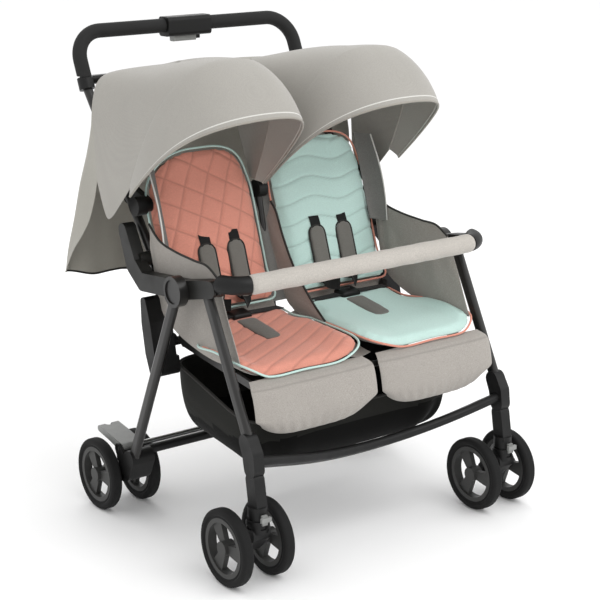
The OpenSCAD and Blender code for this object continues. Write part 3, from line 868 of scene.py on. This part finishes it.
@dataclass(frozen=True)
class Seat:
    """One seat: its pad, its removable liner, its backrest and its harness."""

    side: int
    liner: Cloth
    trim: Cloth
    seat_seam: Seam | None
    back_seam: Seam

    seat_corners: tuple[Point, ...] = (
        (24, -6, 18), (24, -62, 14), (3, -96, 20), (3, -300, 70),
        (304, -300, 78), (304, -122, 44), (263, -76, 36), (263, -6, 18),
    )
    pad_corners: tuple[Point, ...] = (
        (27, -10, 18), (27, -62, 14), (14, -92, 16), (14, -270, 60),
        (299, -270, 60), (299, -116, 40), (257, -72, 34), (257, -10, 18),
    )
    back_corners: tuple[Point, ...] = ((22, 14, 18), (281, 14, 18), (281, 352, 104), (22, 352, 104))
    rest_corners: tuple[Point, ...] = ((16, 11, 30), (268, 11, 30), (268, 337, 46), (16, 337, 46))

    @staticmethod
    def seat_bend(a: float, b: float, h: float) -> Point:
        """Lets the liner dip over the front tube and curl up at its outer corner."""
        front = smooth_step(-b, 262, 304)
        curl = smooth_step(a, 246, 308) * smooth_step(-b, 90, 200)
        dish = 3.0 * math.cos((a - 150) / 150 * math.pi / 2) * smooth_step(-b, 20, 120)
        ripple = 1.2 * math.sin(a / 21) * front
        inner = 13 * (1 - smooth_step(a, 0, 95)) * smooth_step(-b, 60, 250)
        rise = 3 + inner - 4 * front * (1 - curl) + 15 * curl - dish + ripple
        return (a - 2 * curl, b + 3 * front, h + rise)

    @staticmethod
    def back_bend(a: float, b: float, h: float) -> Point:
        """Lets the back's edges fall behind and its top lean forward."""
        edge = abs((a - 148) / 134) ** 2.6
        lean = 15 * smooth_step(b, 285, 352)
        waves = 2.0 * math.cos(b / 46) * (1 - min(edge, 1))
        return (a, b, h - 20 * edge * smooth_step(b, 10, 90) + lean - waves)

    def edging(self, corners: tuple[Point, ...], height: float, plane: Plane, bend: Bend,
               name: str) -> bpy.types.Object:
        """A piping all round an outline."""
        points = []
        for a, b in rounded_outline(corners, 150):
            a, b, h = bend(a, b, height)
            points.append(plane.point(a * self.side, b, h))
        return tube(name, points, 2.3, self.trim, closed=True)

    def build(self) -> None:
        """Makes this seat's soft pieces."""
        word = side_name(self.side)
        seat_pad = Pad(f"seat_pad_{word}", self.pad_corners, -20.5, -10.5, 3).build()
        settle(seat_pad, SEAT, self.side, self.seat_bend)
        seat_liner = Pad(f"seat_liner_{word}", self.seat_corners, -8.6, 0.4, 5).build()
        if self.seat_seam:
            sew(seat_liner, self.seat_seam, 2.0, 4.0, -3)
        settle(seat_liner, SEAT, self.side, self.seat_bend)
        rest = Pad(f"backrest_{word}", self.rest_corners, -17.0, -2.2, 4).build()
        settle(rest, BACK, self.side, self.back_bend)
        back_liner = Pad(f"back_liner_{word}", self.back_corners, 0.4, 8.6, 5).build()
        sew(back_liner, self.back_seam, 2.2, 4.0, 4)
        settle(back_liner, BACK, self.side, self.back_bend)
        for piece, finish in ((seat_pad, GREY), (seat_liner, self.liner), (rest, GREY),
                              (back_liner, self.liner)):
            finish_piece(piece, [finish], 80)
        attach(seat_pad, "seat_base")
        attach(seat_liner, "seat_base")
        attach(rest, f"back_{word}")
        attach(back_liner, f"back_{word}")
        if self.side > 0:
            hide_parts("seat_pads")
            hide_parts("seat_liners")
        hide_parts(f"back_{word}")
        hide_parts(f"liner_{word}")
        for name, corners, height, plane, bend, body in (
            (f"seat_liner_edge_{word}", self.seat_corners, -4, SEAT, self.seat_bend, "seat_base"),
            (f"back_liner_edge_{word}", self.back_corners, 4.5, BACK, self.back_bend, f"back_{word}"),
        ):
            cord = self.edging(corners, height, plane, bend, name)
            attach(cord, body)
        crease = cloth_grid(f"seat_crease_{word}", 24, 20, self.crease, [GREY], THIN_CLOTH, 0)
        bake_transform(crease)
        self.harness(word)
        LOG.info("seat %s", word)

    def crease(self, u: float, v: float) -> Point:
        """Place on the cloth that joins the back to the seat: u across and v from the back to the seat."""
        x = (20 + 246 * u) * self.side
        points = (BACK.point(x, 44, -19), BACK.point(x, 20, -17), SEAT.point(x, 2, -14),
                  SEAT.point(x, -16, -18), SEAT.point(x, -44, -22))
        return along(points, v)

    def harness(self, word: str) -> None:
        """Makes the shoulder pads, the straps, the buckle and the crotch pad."""
        middle = HARNESS_MIDDLE
        first = None
        for place, offset in (("inner", -36), ("outer", 36)):
            centre = middle + offset
            corners = ((centre - 21, 27, 19), (centre + 21, 27, 19),
                       (centre + 21, 153, 20.5), (centre - 21, 153, 20.5))
            pad = Pad(f"shoulder_pad_{word}_{place}", corners, 10.5, 19.5, 2.5, 4).build()
            settle(pad, BACK, self.side)
            finish_piece(pad, [PAD_GREY], 80)
            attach(pad, f"back_{word}")
            first = first or pad
            line = [BACK.point(a * self.side, b, 15) for a, b in rounded_outline(corners, 70)]
            edge = tube(f"{pad.name}_binding", line, 2.0, BINDING, closed=True)
            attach(edge, f"back_{word}")
            over = [BACK.point(centre * self.side, b, h) for b, h in
                    ((176, 6), (172, 12.5), (162, 15), (148, 16))]
            under = [BACK.point((middle + offset * share) * self.side, b, h) for share, b, h in
                     ((1, 40, 15), (0.95, 27, 18), (0.75, 21, 26), (0.5, 18, 38))]
            high = strap(f"shoulder_strap_{word}_{place}", over, (0, -1, 0.3))
            low = strap(f"waist_strap_{word}_{place}", under, (0, -1, 0.3))
            for band in (high, low):
                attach(band, f"back_{word}")
        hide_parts(f"shoulder_pads_{word}")
        outline = ((121, -162, 16), (163, -162, 16), (169, -50, 12), (115, -50, 12))
        crotch = Pad(f"crotch_pad_{word}", outline, 1.5, 9.5, 2.5, 4).build()
        settle(crotch, SEAT, self.side)
        finish_piece(crotch, [PAD_GREY], 80)
        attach(crotch, "seat_base")
        if self.side > 0:
            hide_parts("crotch_pads")
        buckle = self.buckle(f"buckle_{word}", middle)
        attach(buckle, "seat_base")
        for place, offset, start in (("inner", -20, 30.0), ("outer", 20, 256.0)):
            line = ((start, -22, 4), (start + (middle - start) * 0.35, -27, 7),
                    (start + (middle - start) * 0.7, -31, 10), (middle + offset, -32, 12))
            lap = strap(f"lap_strap_{word}_{place}", [SEAT.point(x * self.side, b, h) for x, b, h in line],
                        (0, 0, 1))
            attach(lap, "seat_base")

    def buckle(self, name: str, middle: float) -> bpy.types.Object:
        """A rounded buckle with a sunk release button, at the crotch strap's end."""
        clear_selection()
        bpy.ops.mesh.primitive_cube_add(size=1)
        piece = bpy.context.object
        piece.name = name
        bpy.ops.object.mode_set(mode="EDIT")
        bpy.ops.mesh.select_all(action="SELECT")
        bpy.ops.transform.resize(value=(0.050, 0.038, 0.017))
        bpy.ops.mesh.bevel(offset=0.007, segments=4, affect="EDGES")
        bpy.ops.object.mode_set(mode="OBJECT")
        for face in piece.data.polygons:
            face.select = face.normal.z > 0.95 and face.area > 2e-4
        bpy.ops.object.mode_set(mode="EDIT")
        bpy.ops.mesh.select_mode(type="FACE")
        bpy.ops.mesh.inset(thickness=0.008)
        bpy.ops.mesh.inset(thickness=0.0015, depth=-0.0016)
        bpy.ops.object.mode_set(mode="OBJECT")
        for vertex in piece.data.vertices:
            a, b, h = (c / MM for c in vertex.co)
            vertex.co = at(*SEAT.point((middle + a) * self.side, b - 31, h + 12.0 - 0.004 * a * a))
        if self.side < 0:
            piece.data.flip_normals()
        return finish_piece(piece, [BLACK], 40)


@dataclass(frozen=True)
class CalfRest:
    """A padded apron that hangs from the seat's front tube, gathered to a round bottom."""

    side: int
    inner: float = 6.0
    outer: float = 303.0
    path: tuple[Flat, ...] = ((-222, 390), (-244, 378), (-255, 348), (-259, 312), (-250, 278))

    def shape(self, u: float, v: float, face: int) -> Point:
        """Place on the front (face 1) or back (face -1): u across and v down."""
        y, z = along(self.path, v)
        half = (self.outer - self.inner) / 2
        middle = (self.outer + self.inner) / 2
        tuck = 1 - 0.13 * smooth_step(v, 0.72, 1.0)
        s = 2 * u - 1
        x = middle + s * half * tuck * (0.93 + 0.07 * smooth_step(v, 0.0, 0.3))
        crown = (1 - abs(s) ** 5) ** 0.5 * (1 - abs(2 * v - 1) ** 6) ** 0.5
        gathers = 1.6 * math.sin(34 * s) * smooth_step(v, 0.6, 0.95) * (1 - abs(s) ** 4)
        band = -2.4 * math.exp(-(((v - 0.24) / 0.018) ** 2))
        creases = 1.0 * math.sin(9 * s + 5 * v) * math.sin(math.pi * v)
        out = (9.5 * crown + (gathers + band + creases) * crown) * (1 if face > 0 else -0.85)
        lift = 26 * smooth_step(v, 0.6, 1.0) * abs(s) ** 4
        return (x * self.side, y - out, z + lift)

    def build(self) -> None:
        """Makes the apron and its top band's stitches."""
        word = side_name(self.side)
        clear_selection()
        bpy.ops.mesh.primitive_grid_add(x_subdivisions=64, y_subdivisions=40, size=1)
        piece = bpy.context.object
        piece.name = f"calf_apron_{word}"
        apply_modifier(piece, "SOLIDIFY", thickness=0.01, offset=0.0)
        marks = piece.data.attributes.new("stitch", "FLOAT", "POINT")
        values = []
        for vertex in piece.data.vertices:
            u, v = min(max(vertex.co.x + 0.5, 0), 1), min(max(0.5 - vertex.co.y, 0), 1)
            values.append(math.exp(-(((v - 0.24) / 0.012) ** 2)))
            vertex.co = at(*self.shape(u, v, 1 if vertex.co.z > 0 else -1))
        marks.data.foreach_set("value", values)
        face_outward(piece)
        apply_modifier(piece, "SUBSURF", levels=1, render_levels=1)
        finish_piece(piece, [GREY], 80)
        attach(piece, f"calf_rest_{word}")
        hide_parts(f"calf_rest_{word}")
        LOG.info("calf rest %s", word)


@dataclass(frozen=True)
class SideWing:
    """The grey cloth beside a seat, from the seat rail up to the armrest, and the back's side strip, whose
    darker grey is painted shade.
    """

    side: int
    low: tuple[Flat, ...] = ((-198, 412), (-120, 404), (-40, 412), (40, 434), (90, 470), (116, 560))
    high: tuple[Flat, ...] = ((-125, 573), (-86, 592), (-38, 594), (32, 599), (88, 610), (128, 638))

    def shape(self, u: float, v: float) -> Point:
        """Place on the wing: u to the rear and v up."""
        a, b = along(self.low, u), along(self.high, u)
        y, z = (p + (q - p) * v for p, q in zip(a, b))
        folds = math.sin(math.pi * v) * (2.2 * math.sin(13 * u + 4 * v) + 1.4 * math.sin(29 * u - 6 * v))
        return ((292.5 + 0.8 * folds) * self.side, y, z)

    def back_strip(self, u: float, v: float) -> Point:
        """Place on the strip between the backrest and the push tube: u outwards and v up."""
        x, y, z = BACK.point(261 + 28 * u, 150 + 195 * v, 0)
        reach = 26 + 14 * math.sin(math.pi * v)
        fold = 1.5 * math.sin(21 * v) * math.sin(math.pi * u)
        return (x * self.side, y - 8 - reach * u * u + fold, z - 4 * u)

    def build(self) -> None:
        """Makes the wing, its dark binding and the strip, the strip in a darker grey that paints its shade.
        """
        word = side_name(self.side)
        wing = cloth_grid(f"side_wing_{word}", 60, 30, self.shape, [GREY], THIN_CLOTH, 0)
        # The strip takes the darker grey copy of the seat cloth, painted shade for the shadow beside the
        # backrest.
        strip = cloth_grid(f"back_wing_{word}", 10, 40, self.back_strip, [SHADED_GREY], THIN_CLOTH, 0)
        top_line = [self.shape(k / 60, 1.0) for k in range(61)]
        outer_line = [self.back_strip(1.0, k / 30) for k in range(31)]
        edge = tube(f"side_wing_binding_{word}", top_line, 2.4, BINDING)
        seam = tube(f"back_wing_piping_{word}", outer_line, 1.6, PIPING)
        if self.side > 0:
            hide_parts("seat_sides")
        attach(strip, "push_frame")
        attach(seam, "push_frame")
        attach(edge, "seat_base")
        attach(wing, "seat_base")
        LOG.info("side wing %s", word)


@dataclass(frozen=True)
class MiddlePanel:
    """The cloth panel between the two seats."""

    low: tuple[Flat, ...] = ((-84, 414), (-20, 424), (50, 438), (84, 500), (112, 560), (128, 610))
    high: tuple[Flat, ...] = ((-78, 426), (-30, 462), (26, 516), (66, 576), (92, 628), (112, 650))

    def shape(self, u: float, v: float) -> Point:
        """Place on the panel: u to the rear and v up."""
        y, z = (p + (q - p) * v for p, q in zip(along(self.low, u), along(self.high, u)))
        return (2.0 * math.sin(12 * u + 5 * v) * math.sin(math.pi * v), y, z)

    def build(self) -> None:
        """Makes the panel and its binding."""
        panel = cloth_grid("middle_panel", 40, 16, self.shape, [GREY], THIN_CLOTH, 0)
        edge = tube("middle_panel_binding", [self.shape(k / 50, 1.0) for k in range(51)], 2.4, BINDING)
        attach(panel, "seat_base")
        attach(edge, "seat_base")
        # The strip between the backrests takes the darker grey copy of the seat cloth, painted shade for the
        # shadow there.
        back_gap = cloth_grid("middle_back_strip", 8, 40, self.back_strip, [SHADED_GREY], THIN_CLOTH, 0)
        seat_gap = cloth_grid("middle_seat_strip", 8, 40, self.seat_strip, [GREY], THIN_CLOTH, 0)
        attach(back_gap, "push_frame")
        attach(seat_gap, "seat_base")
        LOG.info("middle panel")

    @staticmethod
    def back_strip(u: float, v: float) -> Point:
        """Place on the strip between the two backrests: u across and v up."""
        dip = 7 * math.sin(math.pi * u) + 1.2 * math.sin(31 * v)
        return BACK.point(56 * (u - 0.5), 8 + 262 * v, -19 - dip)

    @staticmethod
    def seat_strip(u: float, v: float) -> Point:
        """Place on the strip between the two seat pads: u across and v to the rear."""
        dip = 5 * math.sin(math.pi * u) + 0.8 * math.sin(27 * v)
        return SEAT.point(52 * (u - 0.5), -262 + 262 * v, -21 - dip)


@dataclass(frozen=True)
class Drape:
    """The cloth that hangs behind both canopies, from their rear bow to below the seats."""

    side_edge: tuple[Flat, ...] = ((262, 915), (268, 868), (267, 790), (266, 715),
                                   (300, 634), (340, 586), (388, 540), (428, 486))
    corner: tuple[Flat, ...] = ((262, 918), (306, 880), (322, 812), (346, 750),
                                (380, 682), (410, 606), (442, 530), (458, 474))
    back: tuple[Flat, ...] = ((262, 930), (330, 929), (384, 914), (414, 868),
                              (430, 770), (437, 670), (441, 560), (434, 462))
    turn_in: float = 0.84  # share of the half width at which the drape turns forward

    def shape(self, u: float, v: float) -> Point:
        """Place on the drape: u from the left side edge round the back to the right one, v down."""
        s = 2 * u - 1
        side, corner, back = along(self.side_edge, v), along(self.corner, v), along(self.back, v)
        across = abs(s)
        if across > self.turn_in:
            t = (across - self.turn_in) / (1 - self.turn_in)
            y, z = (p + (q - p) * t for p, q in zip(corner, side))
            x = 310 + 20 * t * smooth_step(v, 0.05, 0.4)
        else:
            t = across / self.turn_in
            share = 1 - t**3.2
            y, z = (p + (q - p) * share for p, q in zip(corner, back))
            x = 310 * t
        hang = smooth_step(v, 0.3, 1.0)
        folds = hang * (5.0 * math.sin(15 * s + 2 * v) + 3.0 * math.sin(33 * s - 3 * v)) * (1 - across**6)
        return (x * (1 if s > 0 else -1), y + folds, z + 3.0 * hang * math.sin(21 * s))

    def build(self) -> None:
        """Makes the drape, its dark hem and the bound line over the rear bows."""
        cloth = cloth_grid("rear_curtain", 120, 70, self.shape, [DRAPE, LINING], THIN_CLOTH, 0)
        hem = tube("curtain_hem", [self.shape(0.08 + 0.84 * k / 120, 1.0) for k in range(121)], 2.6, BINDING)
        line = tube("curtain_top_binding", [self.shape(k / 120, 0.0) for k in range(121)], 2.8, BINDING)
        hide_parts("rear_drape")
        for piece in (cloth, hem, line):
            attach(piece, "push_frame")
        LOG.info("drape")


@dataclass(frozen=True)
class Basket:
    """The storage basket: a sagging cloth bowl with a netting band under its rim."""

    half: float = 261.0
    front: float = -195.0
    back: float = 121.0

    def shape(self, u: float, v: float) -> Point:
        """Place on the bowl: u round it and v from the rim to the middle of the bottom."""
        turn = 2 * math.pi * u
        c, s = math.cos(turn), math.sin(turn)
        middle, reach = (self.front + self.back) / 2, (self.back - self.front) / 2
        power = 2 / 7  # makes the round into a rectangle with soft corners
        bend = v * math.pi / 2
        radial = max(math.cos(bend), 0.0) ** 0.34
        x = math.copysign(abs(c) ** power, c) * self.half * radial
        y = middle + math.copysign(abs(s) ** power, s) * reach * (radial - 0.10 * math.sin(bend) * radial)
        rim = 284 + 60 * smooth_step(y, self.front, self.back)
        floor = 163 + 14 * smooth_step(y, self.front, self.back)
        z = rim + (floor - rim) * math.sin(bend) ** 0.62
        sag = 3 * math.sin(11 * turn) * math.sin(math.pi * min(v * 1.6, 1))
        return (x, y + sag * abs(s), z + 1.4 * sag)

    def build(self) -> None:
        """Makes the bowl, dresses the netting band and adds the rim's binding."""
        bowl = cloth_grid("basket_bowl", 144, 40, lambda u, v: self.shape(u, min(v, 0.999)), [BASKET],
                          CANOPY_CLOTH, 0)
        apply_modifier(bowl, "WELD", merge_threshold=0.0002)
        bowl.data.materials.append(NETTING.material())
        for face in bowl.data.polygons:
            if face.center.z > 0.242 and abs(face.normal.z) < 0.6:
                face.material_index = 1
        rim = tube("basket_rim", [self.shape(k / 144, 0.0) for k in range(144)], 3.0, BINDING, closed=True)
        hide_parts("basket")
        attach(bowl, "rear_frame")
        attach(rim, "rear_frame")
        for piece in (bowl, rim):
            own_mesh(piece)
        LOG.info("basket")


@dataclass(frozen=True)
class BumperCover:
    """The bumper bar's padded sleeve, with a seam underneath and gathered ends."""

    middle: Flat = (-212, 577)
    reach: float = 267.0
    corner: float = 50.0
    radius: float = 19.4

    def line(self, share: float) -> tuple[Vector, Vector]:
        """Centre line of the bar and its direction at a share from left to right."""
        turn = math.radians(11.5)
        bend = self.corner * turn
        total = 2 * (self.reach + bend)
        run = share * total - total / 2
        if abs(run) <= self.reach:
            return Vector((run, self.middle[0], self.middle[1])), Vector((1, 0, 0))
        angle = (abs(run) - self.reach) / self.corner
        sign = 1 if run > 0 else -1
        place = Vector((sign * (self.reach + self.corner * math.sin(angle)),
                        self.middle[0] + self.corner * (1 - math.cos(angle)), self.middle[1]))
        return place, Vector((math.cos(angle), sign * math.sin(angle), 0))

    def shape(self, u: float, v: float) -> Point:
        """Place on the sleeve: u along it and v round it."""
        place, ahead = self.line(u)
        up = Vector((0, 0, 1))
        side = ahead.cross(up)
        turn = 2 * math.pi * v
        end = 1 - 0.16 * math.exp(-((min(u, 1 - u) / 0.006) ** 2))
        seam = math.exp(-(((v - 0.62) / 0.012) ** 2))
        soft = 0.5 * math.sin(60 * u + 3 * turn) + 0.35 * math.sin(23 * u - 2 * turn)
        r = self.radius * end - 1.5 * seam + soft * 0.6
        point = place + side * math.cos(turn) * r + up * math.sin(turn) * r
        return (point.x, point.y, point.z)

    def build(self) -> None:
        """Makes the sleeve and its seam."""
        sleeve = cloth_grid("bumper_sleeve", 180, 48, self.shape, [COVER], 1.5, -1)
        apply_modifier(sleeve, "WELD", merge_threshold=0.0002)
        face_outward(sleeve)
        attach(sleeve, "bumper")
        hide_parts("bumper_cover")
        LOG.info("bumper cover")


# ---------- studio ----------


def studio() -> None:
    """Adds the floor, the soft lights and the camera."""
    clear_selection()
    bpy.ops.mesh.primitive_plane_add(size=30, location=(0, 0, -0.0005))
    floor = bpy.context.object
    floor.name = "studio_floor"
    n = Nodes("studio_floor", 0.9)
    n.shader.inputs["Base Color"].default_value = (0.97, 0.97, 0.97, 1)
    n.shader.inputs["Specular IOR Level"].default_value = 0.1
    floor.data.materials.append(n.material)
    world = bpy.data.worlds.new("studio")
    world.use_nodes = True
    world.node_tree.nodes["Background"].inputs["Color"].default_value = (1, 1, 1, 1)
    world.node_tree.nodes["Background"].inputs["Strength"].default_value = 1.05
    bpy.context.scene.world = world
    bpy.context.scene.view_settings.view_transform = "Standard"
    for name, place, size, power in (
        ("key_light", (0.6, -2.6, 3.6), 2.2, 46),
        ("fill_light", (2.8, -2.4, 2.0), 2.4, 16),
        ("rim_light", (0.8, 2.8, 2.6), 2.0, 22),
    ):
        light = bpy.data.lights.new(name, "AREA")
        light.size = size
        light.energy = power
        lamp = bpy.data.objects.new(name, light)
        bpy.context.scene.collection.objects.link(lamp)
        lamp.location = place
        lamp.rotation_euler = (Vector((0, 0, 0.5)) - Vector(place)).to_track_quat("-Z", "Y").to_euler()
    forward = Vector((0.56871, 0.77921, -0.26345)).normalized()
    right = forward.cross(Vector((0, 0, 1))).normalized()
    up = right.cross(forward)
    roll = math.radians(-0.583)
    right, up = right * math.cos(roll) + up * math.sin(roll), up * math.cos(roll) - right * math.sin(roll)
    camera = bpy.data.objects.new("camera", bpy.data.cameras.new("camera"))
    camera.data.sensor_width = 36
    camera.data.lens = 97.03
    camera.data.clip_start, camera.data.clip_end = 0.05, 60
    turn = Matrix((right, up, -forward)).transposed().to_4x4()
    camera.matrix_world = Matrix.Translation(Vector((-1.9405, -2.7137, 1.3525))) @ turn
    bpy.context.scene.collection.objects.link(camera)
    bpy.context.scene.camera = camera


def main() -> None:
    """Builds every piece in order."""
    logging.basicConfig(level=logging.INFO, format="%(message)s")
    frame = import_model()
    dress_frame(frame)
    studio()
    for side in (-1, 1):
        Canopy(side).build()
        CalfRest(side).build()
        SideWing(side).build()
    Seat(-1, CORAL, MINT, diagonal_seam, diamond_seam).build()
    Seat(1, MINT, CORAL, None, wavy_seam).build()
    MiddlePanel().build()
    Drape().build()
    Basket().build()
    BumperCover().build()


if __name__ == "__main__":
    main()
